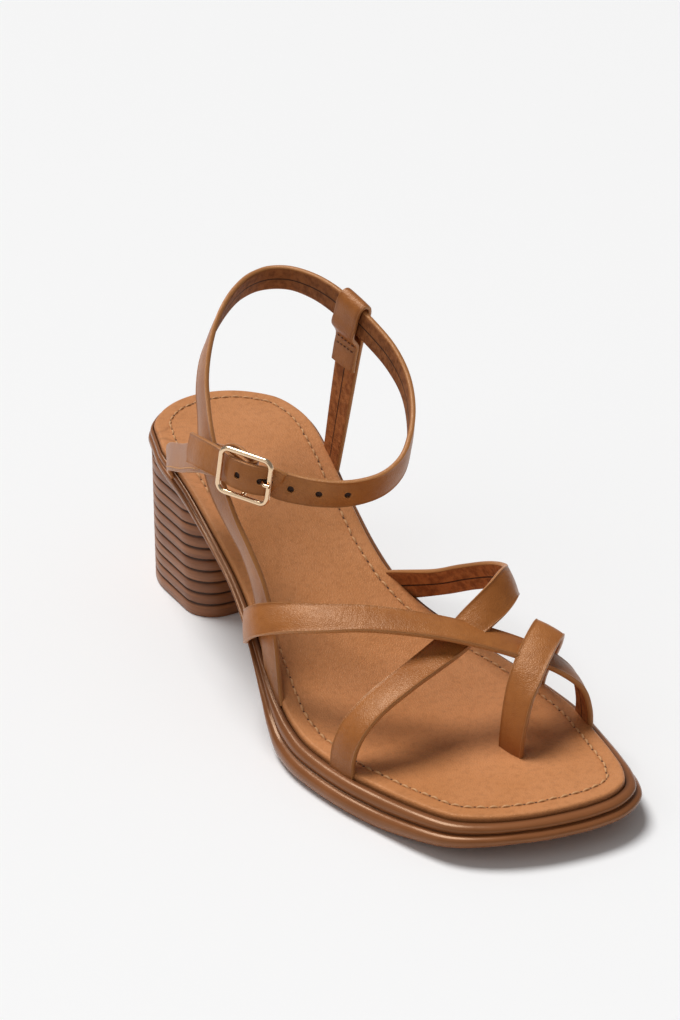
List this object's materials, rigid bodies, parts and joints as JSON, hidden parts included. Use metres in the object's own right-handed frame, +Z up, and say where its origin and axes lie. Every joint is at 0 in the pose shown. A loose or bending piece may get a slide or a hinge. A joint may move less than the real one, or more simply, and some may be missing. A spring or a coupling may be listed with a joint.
{
  "type": "heeled sandal",
  "caption": "Right strappy heeled sandal with a square toe, block heel, crossing toe straps and a buckled ankle strap.",
  "frame": {"origin": "centre of the bounding box's base, on the floor", "axes": "+Z up, +Y towards the heel, -Y towards the toe, +X towards the big toe side"},
  "size_m": [0.0996, 0.247, 0.1214],
  "materials": {
    "strap_leather": "satin",
    "insole_leather": "satin",
    "sole_rubber": "satin",
    "buckle_brass": "polished"
  },
  "bodies": {
    "root": {"outsole": "sole_rubber", "insole": "insole_leather", "heel": "sole_rubber", "forefoot_straps": "strap_leather", "ankle_strap": "strap_leather", "quarter_strap": "strap_leather", "medial_tab": "strap_leather", "buckle_frame": "buckle_brass", "buckle_prong": "buckle_brass"}
  },
  "joints": []
}
